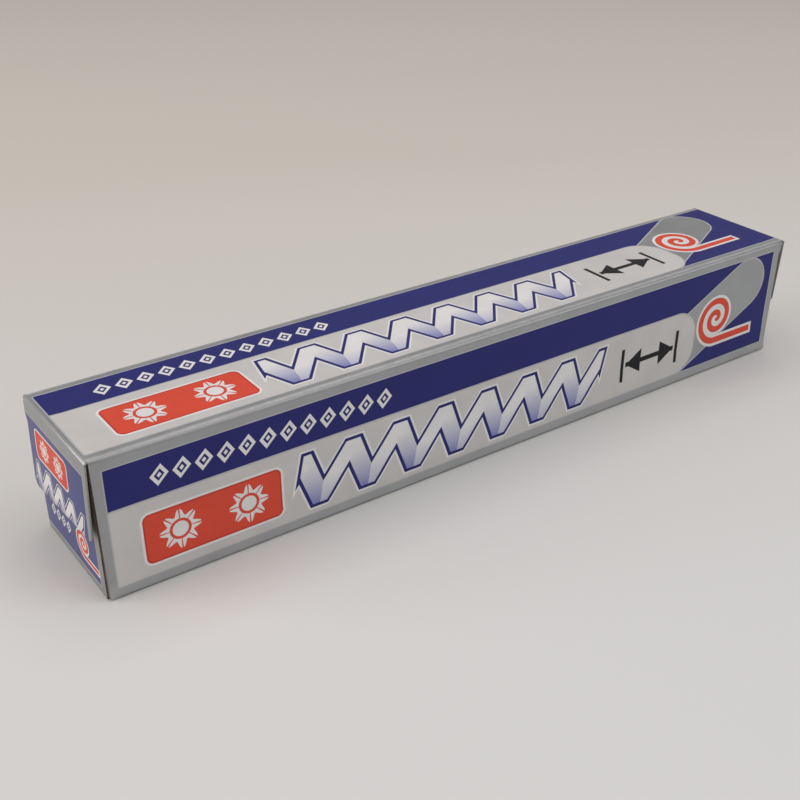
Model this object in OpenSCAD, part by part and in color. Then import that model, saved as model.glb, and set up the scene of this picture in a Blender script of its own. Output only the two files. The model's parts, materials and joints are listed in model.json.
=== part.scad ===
// Household foil roll in its printed board carton, lying closed on its base.
// X runs along the carton, the front flap faces -Y, Z is up, and z = 0 is the table.

/* [Foil roll] */
// Width of the foil
foil_w = 250; // [150:1:300]
// Length of foil wound on the core
foil_len = 16000; // [4000:500:30000]
// Thickness of the foil
foil_t = 0.012; // [0.008:0.001:0.020]
// Step at the free edge where the last turn ends
lap_t = 0.15; // [0.08:0.01:0.30]
// Angle over which the free edge lifts off the roll
tail_angle = 34; // [10:1:60]
// How far the free edge has sprung off the roll
tail_lift = 0.9; // [0.2:0.1:1.5]
// Where the free edge parts from the roll, measured from the front over the top
tail_start = 100; // [80:1:150]
// Depth of the uneven rings on the two ends of the roll
ring_depth = 0.25; // [0.1:0.05:0.6]
// Width of one ring
ring_w = 0.22; // [0.1:0.02:0.4]

/* [Core] */
// Outer diameter of the paper core
core_d = 31.4; // [20:0.2:40]
// Wall of the paper core
core_wall = 1.2; // [0.6:0.1:2.5]
// How far the core stands out of the foil at each end
core_over = 1; // [0:0.1:4]
// Radial play between the core and the first turn
wind_clear = 0.05; // [0.02:0.01:0.10]

/* [Carton] */
// Thickness of the board
board_t = 0.45; // [0.30:0.05:0.60]
// Outer radius of the folds that stay closed
fold_r = 0.7; // [0.61:0.01:1.2]
// Play along the carton between the core and each end
roll_play = 1.05; // [0.6:0.05:4]
// Free depth in front of and behind the roll, together
side_room = 5.1; // [3:0.1:15]
// Free height over the roll
top_room = 6; // [4:0.1:15]
// Gap under the roll
roll_clear = 0.05; // [0.02:0.01:0.20]

/* [Tray] */
// Height of the wall behind the front flap
front_wall_h = 35; // [20:0.5:38]
// Width of the finger dip in that wall
dip_w = 120; // [60:1:140]
// Depth of the finger dip
dip_d = 6; // [2:0.5:12]
// Length of the glued flaps inside each end
dust_flap_l = 18; // [8:0.5:19]
// How far the glued flaps stop short of the walls' top edges
dust_flap_drop = 2; // [0.5:0.1:6]
// Radius of the glued flaps' free corners
dust_flap_r = 4; // [1:0.5:7]
// Gap between the glued flaps and the bottom
dust_flap_gap = 0.5; // [0.2:0.1:2]
// How far each end panel stops short of the front and back faces
end_panel_inset = 0.3; // [0.1:0.05:1]

/* [Lid and flaps] */
// Gap between the front flap and the wall behind it
front_gap = 0.5; // [0.45:0.05:1.5]
// Gap between each end panel and the flap over it, at the fold
end_gap = 0.6; // [0.55:0.05:1.5]
// Gap between the lid panel and the end panels' top edges
lid_gap = 0.3; // [0.2:0.05:1]
// Running gap round each fold that turns
fold_clear = 0.05; // [0.03:0.01:0.10]
// How far the front flap stops above the table
flap_lift = 0.6; // [0.5:0.1:3]
// Length of each end flap below its fold
end_flap_drop = 27.5; // [15:0.5:34]
// Angle at which the end flaps stand off the end panels
end_flap_tilt = 2; // [0:0.5:6]
// Inset of an end flap's front edge at the fold
end_flap_inset = 1; // [0.95:0.05:4]
// How much further an end flap's front edge is cut back at its lower end
end_flap_taper = 2.4; // [0:0.1:5]
// Inset of an end flap's back edge
end_flap_back_inset = 0.7; // [0.6:0.1:3]
// Radius of an end flap's lower corner at the front
end_flap_front_r = 6; // [2:0.5:10]
// Radius of an end flap's lower corner at the back
end_flap_back_r = 2.5; // [1:0.5:8]

/* [Cutter] */
// Thickness of the steel strip
blade_t = 0.2; // [0.10:0.05:0.30]
// Height of the strip from its back edge to the tips
blade_h = 8; // [5:0.5:14]
// How far the strip is longer than the foil is wide, at each end
blade_over = 0.5; // [0:0.5:1]
// Distance from tooth to tooth
tooth_pitch = 2; // [1.5:0.1:4]
// Height of a tooth
tooth_h = 1.3; // [0.6:0.1:2.5]
// How far the tips stand below the front flap's edge
tooth_show = 0.4; // [0.1:0.05:0.45]
// Distance between the stamped dimples that grip the board
stamp_pitch = 12.5; // [8:0.5:25]
// Diameter of a stamped dimple
stamp_d = 2.2; // [1:0.1:3]
// Height of a stamped dimple
stamp_h = 0.12; // [0.05:0.01:0.14]

/* [Hidden] */
// Sliver by which two cuts overlap, and margin by which a cutter passes what it cuts
eps = 0.01;
over = 1;

// Sides of the round surfaces, as drawn on screen
fold_sides = 48;
roll_sides = 96;
dip_sides = 180;
stamp_sides = 24;

core_r = core_d / 2;
bore_r = core_r + wind_clear;
roll_r = sqrt(bore_r * bore_r + foil_len * foil_t / PI);
core_l = foil_w + 2 * core_over;

// Half length of the walls, of the tray with its end panels, and of the lid over its folds
wall_x = core_l / 2 + roll_play + board_t;
tray_x = wall_x + board_t;
lid_x = tray_x + end_gap + board_t;

// Depth and height of the closed carton
carton_w = 2 * roll_r + side_room + 3 * board_t + front_gap;
carton_h = 2 * roll_r + roll_clear + top_room + 2 * board_t;

// The folds that turn: each runs through the inner corner of its two panels
hinge_x = lid_x - board_t;
hinge_y = carton_w / 2 - board_t;
hinge_z = carton_h - board_t;

back_y = carton_w / 2;
front_y = -(hinge_y - front_gap);
end_top = hinge_z - lid_gap;

roll_y = (front_y + back_y) / 2;
roll_z = board_t + roll_clear + roll_r;
tail_steps = 12;
turn_steps = 120;

fold_x = hinge_x - board_t - fold_clear;
blade_top = flap_lift - tooth_show + blade_h;
stamp_count = floor((foil_w / 2 - stamp_pitch) / stamp_pitch);

// A bar along X from a profile drawn as (y, z)
module along_x(length) {
    rotate([90, 0, 90]) translate([0, 0, -length / 2]) linear_extrude(length) children();
}

// A bar along Y from a profile drawn as (x, z)
module along_y(y0, y1) {
    translate([0, y1, 0]) rotate([90, 0, 0]) linear_extrude(y1 - y0) children();
}

// The same piece at both ends of the carton
module both_ends() {
    children();
    mirror([1, 0, 0]) children();
}

// What a round corner takes off a square one; the board lies towards (sx, sz)
module corner_waste_2d(x, z, r, sx, sz) {
    difference() {
        translate([x, z]) square(2 * r, center = true);
        translate([x + sx * r, z + sz * r]) circle(r, $fn = fold_sides);
    }
}

// A folded outline: a rectangle whose lower corners are round
module folded_2d(x0, x1, z0, z1, r) {
    difference() {
        translate([x0, z0]) square([x1 - x0, z1 - z0]);
        corner_waste_2d(x0, z0, r, 1, 1);
        corner_waste_2d(x1, z0, r, -1, 1);
    }
}

// A flap drawn from its fold down: its front edge slants back, its lower corners are round
module flap_2d(front_top, front_low, back, drop) {
    difference() {
        polygon([[front_top, 0], [back, 0], [back, -drop], [front_low, -drop]]);
        corner_waste_2d(front_low, -drop, end_flap_front_r, 1, 1);
        corner_waste_2d(back, -drop, end_flap_back_r, -1, 1);
    }
}

// Bottom, back wall and the lower wall behind the front flap, folded from one strip
module tray_walls() {
    difference() {
        along_x(2 * wall_x) difference() {
            folded_2d(front_y, back_y, 0, hinge_z, fold_r);
            folded_2d(front_y + board_t, back_y - board_t, board_t, hinge_z + over, fold_r - board_t);
        }
        translate([0, front_y + board_t / 2, front_wall_h + carton_h / 2])
            cube([2 * (wall_x + over), board_t + 2 * eps, carton_h], center = true);
        finger_dip();
    }
}

// Shallow round dip that bares the roll to a thumb
module finger_dip() {
    dip_r = (dip_w * dip_w / 4 + dip_d * dip_d) / (2 * dip_d);
    translate([0, front_y + board_t / 2, front_wall_h - dip_d + dip_r]) rotate([90, 0, 0])
        cylinder(r = dip_r, h = board_t + 4 * eps, center = true, $fn = dip_sides);
}

// Glued flap inside an end, folded in from the front wall or from the back wall
module dust_flap(y, side, top) {
    tip = y + side * dust_flap_l;
    low = board_t + dust_flap_gap;
    translate([wall_x - board_t, 0, 0]) rotate([90, 0, 90]) linear_extrude(board_t)
        difference() {
            translate([min(y, tip), low]) square([dust_flap_l, top - low]);
            corner_waste_2d(tip, top, dust_flap_r, -side, -1);
            corner_waste_2d(tip, low, dust_flap_r, -side, 1);
        }
}

// End panel, folded up from the bottom over the glued flaps
module end_panel() {
    along_y(front_y + end_panel_inset, back_y - end_panel_inset) difference() {
        translate([wall_x - board_t, 0]) square([2 * board_t, end_top]);
        translate([wall_x - board_t - eps, board_t]) square([board_t + eps, end_top]);
        corner_waste_2d(tray_x, 0, fold_r, -1, 1);
    }
}

// The round back of a fold that turns, along X
module fold_round(y) {
    translate([0, y, hinge_z]) rotate([0, 90, 0])
        cylinder(r = board_t, h = 2 * fold_x, center = true, $fn = fold_sides);
}

// The space that such a fold turns in
module fold_room_x(y) {
    translate([0, y, hinge_z]) rotate([0, 90, 0])
        cylinder(r = board_t + fold_clear, h = 2 * lid_x, center = true, $fn = fold_sides);
}

module fold_room_y(x) {
    translate([x, 0, hinge_z]) rotate([90, 0, 0])
        cylinder(r = board_t + fold_clear, h = carton_w + 2 * over, center = true, $fn = fold_sides);
}

module carton_tray() {
    color([0.74, 0.74, 0.72]) difference() {
        union() {
            tray_walls();
            both_ends() {
                end_panel();
                dust_flap(front_y + board_t / 2, 1, front_wall_h - dust_flap_drop);
                dust_flap(back_y - board_t / 2, -1, end_top - dust_flap_drop);
            }
        }
        fold_room_x(hinge_y);
    }
}

// Flat top of the carton, with the round of the back fold on its back edge
module lid_panel() {
    color([0.80, 0.79, 0.77]) union() {
        difference() {
            translate([-hinge_x, -hinge_y, hinge_z]) cube([2 * hinge_x, 2 * hinge_y, board_t]);
            fold_room_x(-hinge_y);
            fold_room_y(hinge_x);
            fold_room_y(-hinge_x);
        }
        fold_round(hinge_y);
    }
}

// Front of the carton, full height, with the round of the front fold along its top
module front_flap() {
    color([0.17, 0.17, 0.35]) union() {
        translate([-fold_x, -carton_w / 2, flap_lift])
            cube([2 * fold_x, board_t, hinge_z - flap_lift]);
        fold_round(-hinge_y);
    }
}

// Short flap over an end panel, drawn at the +X end
module end_flap() {
    front_top = -(carton_w / 2 - end_flap_inset);
    front_low = front_top + end_flap_taper;
    back = carton_w / 2 - end_flap_back_inset;
    translate([hinge_x, 0, hinge_z]) rotate([0, -end_flap_tilt, 0]) {
        rotate([90, 0, 90]) linear_extrude(board_t)
            flap_2d(front_top, front_low, back, end_flap_drop - board_t);
        translate([0, (front_top + back) / 2, 0]) rotate([90, 0, 0])
            cylinder(r = board_t, h = back - front_top, center = true, $fn = fold_sides);
    }
}

module right_end_flap() {
    color([0.42, 0.45, 0.58]) end_flap();
}

module left_end_flap() {
    color([0.42, 0.45, 0.58]) mirror([1, 0, 0]) end_flap();
}

// Steel strip on the inner side of the front flap: teeth down, dimples towards the roll
module cutter_strip() {
    teeth = floor((foil_w + 2 * blade_over) / tooth_pitch);
    half = teeth * tooth_pitch / 2;
    root = -blade_h + tooth_h;
    edge = [for (i = [0 : teeth - 1]) each [[-half + i * tooth_pitch, root],
                                            [-half + (i + 0.5) * tooth_pitch, -blade_h]]];
    color([0.75, 0.76, 0.78]) translate([0, -hinge_y + blade_t, blade_top]) rotate([90, 0, 0]) {
        linear_extrude(blade_t) polygon(concat(edge, [[half, root], [half, 0], [-half, 0]]));
        for (i = [-stamp_count : stamp_count])
            translate([i * stamp_pitch, root / 2, -stamp_h])
                cylinder(d = stamp_d, h = stamp_h + blade_t / 2, $fn = stamp_sides);
    }
}

// Radius of the outer turn: it climbs one step a turn, and its free end lifts away
function turn_r(a) = roll_r - lap_t + lap_t * a / 360
    + (a > 360 ? tail_lift * pow((a - 360) / tail_angle, 2) : 0);

function at_turn(a, r) = [-r * cos(tail_start - a), r * sin(tail_start - a)];

// Outline of the wound foil: once round, out along the free end and back beneath it
module roll_2d() {
    round_trip = [for (i = [0 : turn_steps]) let (a = 360 * i / turn_steps) at_turn(a, turn_r(a))];
    tail_out = [for (i = [1 : tail_steps]) let (a = 360 + tail_angle * i / tail_steps)
                at_turn(a, turn_r(a))];
    tail_back = [for (i = [tail_steps : -1 : 1]) let (a = 360 + tail_angle * i / tail_steps)
                 at_turn(a, turn_r(a) - lap_t)];
    polygon(concat(round_trip, tail_out, tail_back));
}

// One ring pressed into an end of the roll
module end_ring(r) {
    translate([0, 0, foil_w / 2 - ring_depth]) difference() {
        cylinder(r = r + ring_w, h = ring_depth + eps, $fn = roll_sides);
        translate([0, 0, -eps]) cylinder(r = r, h = ring_depth + 3 * eps, $fn = roll_sides);
    }
}

module foil_roll() {
    wound = roll_r - lap_t - bore_r;
    rings = [0.2, 0.5, 0.75];
    color([0.83, 0.84, 0.86]) translate([0, roll_y, roll_z]) difference() {
        along_x(foil_w) roll_2d();
        rotate([0, 90, 0]) {
            cylinder(r = bore_r, h = foil_w + 2 * over, center = true, $fn = roll_sides);
            for (share = rings) {
                end_ring(bore_r + share * wound);
                mirror([0, 0, 1]) end_ring(bore_r + share * wound);
            }
        }
    }
}

module core_tube() {
    color([0.66, 0.55, 0.42]) translate([0, roll_y, roll_z]) rotate([0, 90, 0]) difference() {
        cylinder(r = core_r, h = core_l, center = true, $fn = roll_sides);
        cylinder(r = core_r - core_wall, h = core_l + 2 * over, center = true, $fn = roll_sides);
    }
}

carton_tray();
lid_panel();
front_flap();
left_end_flap();
right_end_flap();
cutter_strip();
foil_roll();
core_tube();
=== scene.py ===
import json
import math

import bmesh
import bpy
from mathutils import Matrix, Vector


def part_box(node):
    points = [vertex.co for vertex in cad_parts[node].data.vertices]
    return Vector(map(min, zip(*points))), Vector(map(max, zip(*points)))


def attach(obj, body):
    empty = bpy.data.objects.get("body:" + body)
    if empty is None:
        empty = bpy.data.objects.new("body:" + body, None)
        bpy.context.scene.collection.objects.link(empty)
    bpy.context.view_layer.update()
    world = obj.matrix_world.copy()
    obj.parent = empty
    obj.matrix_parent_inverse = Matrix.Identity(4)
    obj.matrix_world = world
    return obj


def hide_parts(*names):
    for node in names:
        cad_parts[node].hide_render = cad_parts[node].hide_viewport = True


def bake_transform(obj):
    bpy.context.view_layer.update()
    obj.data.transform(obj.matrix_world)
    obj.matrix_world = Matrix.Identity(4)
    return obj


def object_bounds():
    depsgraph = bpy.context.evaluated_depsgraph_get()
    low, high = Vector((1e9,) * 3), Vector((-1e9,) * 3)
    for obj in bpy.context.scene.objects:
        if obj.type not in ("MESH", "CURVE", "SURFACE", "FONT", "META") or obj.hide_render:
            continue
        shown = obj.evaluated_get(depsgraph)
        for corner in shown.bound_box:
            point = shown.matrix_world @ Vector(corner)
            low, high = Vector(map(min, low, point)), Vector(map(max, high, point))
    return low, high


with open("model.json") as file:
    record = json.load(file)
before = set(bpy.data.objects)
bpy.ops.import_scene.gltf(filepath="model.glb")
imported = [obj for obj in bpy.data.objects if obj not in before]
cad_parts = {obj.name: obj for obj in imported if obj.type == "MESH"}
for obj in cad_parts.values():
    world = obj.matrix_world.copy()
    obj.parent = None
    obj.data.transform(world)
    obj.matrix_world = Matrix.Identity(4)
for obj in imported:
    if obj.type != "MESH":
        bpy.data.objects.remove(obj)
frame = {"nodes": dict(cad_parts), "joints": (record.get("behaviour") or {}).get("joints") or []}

cadLow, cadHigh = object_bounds()

mm = 0.001
hair = 0.001 * mm  # how far apart two equal places may be
mergeWithin = 0.01 * mm
folds = {joint["name"]: Vector(joint["pos_m"]) for joint in frame["joints"]}
cartonTop = cadHigh.z
cartonFront = cadLow.y
cartonBack = cadHigh.y
boardThick = cartonTop - folds["front_fold"].z
lidHalf = folds["right_end_fold"].x + boardThick  # outer face of the end folds
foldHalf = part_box("front_flap")[1].x  # half length of the front flap and its fold
foldRadius = 0.8 * mm
topFlatBack = cartonBack - foldRadius
topFlatFront = cartonFront + foldRadius
foldLevel = cartonTop - foldRadius
lidEnd = lidHalf - foldRadius

inks = {
    "silver": (0.355, 0.36, 0.36, 1),
    # paler silver, painted light: the light the lower border and the top beside the front fold catch
    "silverPaintedLit": (0.45, 0.455, 0.46, 1),
    # darker silver, painted shade on the round of the front fold, dimming its highlight
    "silverPaintedShade": (0.285, 0.275, 0.262, 1),
    "navy": (0.026, 0.028, 0.150, 1),
    "pale": (0.60, 0.575, 0.54, 1),
    "white": (0.78, 0.76, 0.73, 1),
    "edgeLine": (0.47, 0.465, 0.46, 1),
    "red": (0.71, 0.08, 0.045, 1),
    "redRim": (0.55, 0.05, 0.03, 1),
    "shade": (0.09, 0.10, 0.42, 1),
    "black": (0.015, 0.015, 0.017, 1),
    # the ends' blue: the navy with a painted sheen, the glossy shine of the lit ends
    "navyWithPaintedSheen": (0.105, 0.11, 0.25, 1),
}

fold = {"steps": 8, "valleyOff": 0.7 * mm, "valleyWidth": 0.9 * mm, "valleyDeep": 0.05 * mm,
        "creaseOff": 1.75 * mm, "creaseWidth": 0.8 * mm, "creaseDeep": 0.1 * mm,
        "stiff": 4 * mm}  # how far from a fold or edge the board stays flat


# selection and modelling helpers

def chooseNone():
    bpy.ops.object.select_all(action="DESELECT")


def chooseOnly(piece):
    chooseNone()
    bpy.context.view_layer.objects.active = piece
    piece.select_set(True)


def openPiece(piece):
    chooseOnly(piece)
    bpy.ops.object.mode_set(mode="EDIT")


def closePiece():
    bpy.ops.object.mode_set(mode="OBJECT")
    chooseNone()


def pick(piece, kind, test):  # selects the parts of that kind whose corners all pass the test
    bpy.ops.mesh.select_mode(type=kind)
    bpy.ops.mesh.select_all(action="DESELECT")
    form = bmesh.from_edit_mesh(piece.data)
    parts = {"VERT": form.verts, "EDGE": form.edges, "FACE": form.faces}[kind]
    for part in parts:
        corners = [part] if kind == "VERT" else part.verts
        if all(test(corner.co) for corner in corners):
            part.select_set(True)
    bmesh.update_edit_mesh(piece.data)


def pickAll():
    bpy.ops.mesh.select_all(action="SELECT")


def moveBy(x, y, z):
    bpy.ops.transform.translate(value=(x, y, z))


def scaleFrom(centre, x, y, z):
    bpy.ops.transform.resize(value=(x, y, z), center_override=centre)


def roundCorners(radius, segments):
    bpy.ops.mesh.bevel(offset=radius, segments=segments, affect="VERTICES")


def near(value, target):
    return abs(value - target) < hair


def takePiece(name, scale=(1, 1, 1)):  # the primitive just added, its place, turn and size applied
    piece = bpy.context.object
    piece.name = piece.data.name = name
    piece.scale = scale
    bpy.ops.object.transform_apply(location=True, rotation=True, scale=True)
    return piece


def addSheet(name, centre, size, turn, cells):  # a flat grid
    chooseNone()
    bpy.ops.mesh.primitive_grid_add(x_subdivisions=cells[0], y_subdivisions=cells[1], size=1,
                                    location=centre, rotation=turn)
    return takePiece(name, (*size, 1))


def roundFold(piece, test, centre, axis, angle=math.pi / 2):  # turns an edge round into a fold
    pick(piece, "EDGE", test)
    bpy.ops.mesh.spin(steps=fold["steps"], angle=angle, center=centre, axis=axis)
    pickAll()
    bpy.ops.mesh.remove_doubles(threshold=mergeWithin)


def faceOut(piece, direction):  # all faces one way, and that way outwards
    pickAll()
    bpy.ops.mesh.normals_make_consistent(inside=False)
    form = bmesh.from_edit_mesh(piece.data)
    furthest = max(form.faces, key=lambda face: face.calc_center_median().dot(Vector(direction)))
    if furthest.normal.dot(Vector(direction)) < 0:
        bpy.ops.mesh.flip_normals()


def cutAt(point, normal):  # one straight cut through the whole piece, nothing removed
    pickAll()
    bpy.ops.mesh.bisect(plane_co=point, plane_no=normal)


def scoreLine(piece, point, normal, width, push):  # shallow valley pressed beside a fold
    point, normal = Vector(point), Vector(normal)
    for side in (-0.5, 0, 0.5):
        cutAt(point + normal * width * side, normal)
    pick(piece, "VERT", lambda co: abs((co - point).dot(normal)) < mergeWithin)
    moveBy(*push)


def pressValley(piece, point, normal, inward):  # beside each fold
    scoreLine(piece, point, normal, fold["valleyWidth"], Vector(inward) * fold["valleyDeep"])


def drawOut(value):  # extrudes what is picked
    bpy.ops.mesh.extrude_region_move(TRANSFORM_OT_translate={"value": value})


def slackWeights(piece, low, high, margin):  # 1 in the middle of a panel, 0 at its folds and edges
    group = piece.vertex_groups.new(name="slack")
    for vertex in piece.data.vertices:
        weight = 1.0
        for axis in range(3):
            if high[axis] - low[axis] > 4 * margin:
                gap = min(vertex.co[axis] - low[axis], high[axis] - vertex.co[axis]) / margin
                weight *= max(0.0, min(1.0, gap)) ** 2
        group.add([vertex.index], weight, "REPLACE")


def applyAll(piece):
    chooseOnly(piece)
    for modifier in list(piece.modifiers):
        bpy.ops.object.modifier_apply(modifier=modifier.name)
    piece.select_set(False)


def smoothBy(piece, degrees):  # edges where the faces turn by more stay sharp
    chooseOnly(piece)
    bpy.ops.object.shade_smooth_by_angle(angle=math.radians(degrees))
    piece.select_set(False)


def giveMaterials(piece, *materials):
    piece.data.materials.clear()
    for material in materials:
        piece.data.materials.append(material)


def pressIn(piece, name, depth, group, texture=None):  # along the normals, as far as the group allows
    press = piece.modifiers.new(name, "DISPLACE")
    press.texture = texture
    press.strength = -depth
    press.mid_level = 0
    press.vertex_group = group


def bowPanel(piece, panel):  # the board's bow and its soft unevenness
    clouds = bpy.data.textures.new(piece.name + "Clouds", "CLOUDS")
    clouds.noise_scale = panel["grain"]
    clouds.noise_depth = 1
    pressIn(piece, "bow", panel["bow"], "slack")
    pressIn(piece, "ripple", panel["ripple"], "slack", clouds)
    applyAll(piece)


def roundRims(piece, width):
    rim = piece.modifiers.new("rim", "BEVEL")
    rim.width = width
    rim.segments = 2
    rim.limit_method = "ANGLE"
    rim.angle_limit = math.radians(60)


def thickenBoard(piece, *materials):  # printed outside, bare inside, raw rim
    giveMaterials(piece, *materials)
    wall = piece.modifiers.new("board", "SOLIDIFY")
    wall.thickness = boardThick
    wall.offset = -1
    wall.use_even_offset = True
    wall.use_quality_normals = True
    wall.material_offset = 1
    wall.material_offset_rim = 2
    roundRims(piece, 0.05 * mm)
    applyAll(piece)
    smoothBy(piece, 40)


def keepPlace(piece):  # the board materials read where each point lies while the carton is closed
    kept = piece.data.attributes.new("flatPlace", "FLOAT_VECTOR", "POINT")
    for vertex in piece.data.vertices:
        kept.data[vertex.index].vector = vertex.co


# shader values and nodes

class Amount:  # a value in a shader tree, so that a formula reads as plain arithmetic
    def __init__(self, socket):
        self.socket = socket

    def __add__(self, other):
        return calc("ADD", self, other)

    def __sub__(self, other):
        return calc("SUBTRACT", self, other)

    def __rsub__(self, other):
        return calc("SUBTRACT", other, self)

    def __mul__(self, other):
        return calc("MULTIPLY", self, other)

    def __truediv__(self, other):
        return calc("DIVIDE", self, other)

    def __abs__(self):
        return calc("ABSOLUTE", self)


def addNode(value, kind):  # a new node in the tree that the value belongs to
    return value.socket.id_data.nodes.new(kind)


def feed(socket, value):
    if isinstance(value, Amount):
        socket.id_data.links.new(value.socket, socket)
    else:
        socket.default_value = value


def calc(operation, *values):
    node = addNode(next(value for value in values if isinstance(value, Amount)), "ShaderNodeMath")
    node.operation = operation
    for socket, value in zip(node.inputs, values):
        feed(socket, value)
    return Amount(node.outputs[0])


def most(one, other):
    return calc("MAXIMUM", one, other)


def least(one, other):
    return calc("MINIMUM", one, other)


def length(across, down):
    return calc("SQRT", across * across + down * down)


def clamped(value):  # its last step is kept between 0 and 1
    value.socket.node.use_clamp = True
    return value


def layInk(mask, below, above):
    node = addNode(mask, "ShaderNodeMix")
    node.data_type = "RGBA"
    for index, value in ((0, mask), (6, below), (7, above)):
        feed(node.inputs[index], value)
    return Amount(node.outputs[2])


def spread(value, fromLow, fromHigh, toLow=0.0, toHigh=1.0):
    node = addNode(value, "ShaderNodeMapRange")
    for socket, number in zip(node.inputs, (value, fromLow, fromHigh, toLow, toHigh)):
        feed(socket, number)
    return Amount(node.outputs[0])


def noise(place, scale, detail=2.0, rough=0.5, stretch=None):
    if stretch:
        mapping = addNode(place, "ShaderNodeMapping")
        feed(mapping.inputs["Vector"], place)
        feed(mapping.inputs["Scale"], stretch)
        place = Amount(mapping.outputs[0])
    node = addNode(place, "ShaderNodeTexNoise")
    for label, value in (("Vector", place), ("Scale", scale), ("Detail", detail), ("Roughness", rough)):
        feed(node.inputs[label], value)
    return Amount(node.outputs["Fac"])


def axesOf(place):
    split = addNode(place, "ShaderNodeSeparateXYZ")
    feed(split.inputs[0], place)
    return [Amount(axis) for axis in split.outputs]


def newGroup(name, inputs, outputs):  # Colour is the only colour that a group puts out
    group = bpy.data.node_groups.new(name, "ShaderNodeTree")
    for label, start in inputs.items():
        kind = "Float"
        if isinstance(start, tuple):
            kind = "Color" if len(start) == 4 else "Vector"
        socket = group.interface.new_socket(name=label, in_out="INPUT", socket_type="NodeSocket" + kind)
        socket.default_value = start
    for label in outputs:
        kind = "Color" if label == "Colour" else "Float"
        group.interface.new_socket(name=label, in_out="OUTPUT", socket_type="NodeSocket" + kind)
    given = group.nodes.new("NodeGroupInput").outputs
    made = group.nodes.new("NodeGroupOutput").inputs
    return group, [Amount(given[label]) for label in inputs], made


def newShape(name, inputs, outputs):
    return newGroup(name, {label: 0.0 for label in ["Along", "Down"] + inputs}, outputs)


def useGroup(tree, group, **values):
    node = tree.nodes.new("ShaderNodeGroup")
    node.node_tree = group
    for label, value in values.items():
        feed(node.inputs[label], value)
    return {socket.name: Amount(socket) for socket in node.outputs}


# print shapes, all in millimetres on the face: Along to the right, Down from its top edge

motif = {
    "softEdge": 0.12, "frameCorner": 0.5, "fieldCorner": 0.3,
    "rowLean": 0.2, "lozengeHole": 0.56, "lozengeHeart": 0.26,
    "ribbonLean": 0.22, "fallingShade": (-0.5, 1.0, 0.0, 0.8), "risingShade": (0.1, 1.1, 0.0, 0.45),
    "petals": 8.0, "petalDeep": 0.17, "ringOut": 0.52, "ringIn": 0.38, "spokeHalf": 0.16,
    "arrowLine": 0.9, "arrowBar": 0.7, "headGap": 2.2, "headSlope": 0.62,
}


def printed(distance):  # 1 inside a shape, from its signed distance
    return clamped(0.5 - distance / motif["softEdge"])


def makePanelShape():
    group, given, made = newShape("panelShape", ["Left", "Right", "Top", "Low", "Corner", "Grow"], ["Inside"])
    along, down, left, right, top, low, corner, grow = given

    def outside(value, start, end):
        return abs(value - (start + end) * 0.5) - (end - start) * 0.5 + corner

    outAlong, outDown = outside(along, left, right), outside(down, top, low)
    flat = least(most(outAlong, outDown), 0.0)
    distance = length(most(outAlong, 0.0), most(outDown, 0.0)) + flat - corner
    feed(made["Inside"], printed(distance - grow))
    return group


def makeLozengeRow():
    group, given, made = newShape(
        "lozengeRow", ["First", "Last", "Pitch", "Middle", "Half width", "Half height"], ["Ink"])
    along, down, first, last, pitch, middle, halfWidth, halfHeight = given
    off = down - middle
    run = along + off * motif["rowLean"] - first
    local = (calc("FRACT", run / pitch) - 0.5) * pitch
    size = (abs(local) / halfWidth + abs(off) / halfHeight) * halfWidth
    hole = printed(size - halfWidth * motif["lozengeHole"])
    heart = printed(size - halfWidth * motif["lozengeHeart"])
    ink = clamped(printed(size - halfWidth) - hole + heart)
    inRow = calc("GREATER_THAN", run, 0.0) * calc("LESS_THAN", run, last - first)
    feed(made["Ink"], ink * inRow)
    return group


def makeFoldedRibbon():  # a strip of sheet folded to and fro between two levels
    group, given, made = newShape(
        "foldedRibbon", ["First", "Last", "Period", "Middle", "Rise", "Cap", "Half width", "Line", "Halo"],
        ["Fill", "Outline", "Halo", "Shade"])
    along, down, first, last, period, middle, rise, cap, halfWidth, line, halo = given
    off = down - middle
    run = along + off * motif["ribbonLean"] - first
    half = period * 0.5
    centre = (calc("PINGPONG", run, half) / half * 2.0 - 1.0) * rise
    slope = rise * 2.0 / half
    strip = abs(off - centre) / calc("SQRT", slope * slope + 1.0) - halfWidth
    ends = most(run * -1.0, run - (last - first))
    distance = most(most(strip, ends), abs(off) - cap)
    falling = calc("LESS_THAN", calc("FRACT", run / period), 0.5)
    deep = off / cap
    feed(made["Fill"], printed(distance))
    feed(made["Outline"], printed(distance - line))
    feed(made["Halo"], printed(distance - line - halo))
    feed(made["Shade"], falling * spread(deep, *motif["fallingShade"])
         + (1.0 - falling) * spread(deep, *motif["risingShade"]))
    return group


def makeRosette():
    group, given, made = newShape("rosette", ["Centre", "Middle", "Radius"], ["Ink"])
    along, down, centre, middle, radius = given
    across, below = along - centre, down - middle
    reach = length(across, below)
    angle = calc("ARCTAN2", below, across)
    petals = calc("COSINE", angle * motif["petals"]) * motif["petalDeep"] + (1.0 - motif["petalDeep"])
    full = printed(reach - petals * radius)
    ringOut, ringIn = [printed(reach - radius * motif[ring]) for ring in ("ringOut", "ringIn")]
    spokes = abs(calc("SINE", angle * (motif["petals"] / 2))) - motif["spokeHalf"]
    gap = printed(spokes * reach) * (1.0 - ringOut)
    feed(made["Ink"], clamped(full - (ringOut - ringIn) - gap))
    return group


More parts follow.
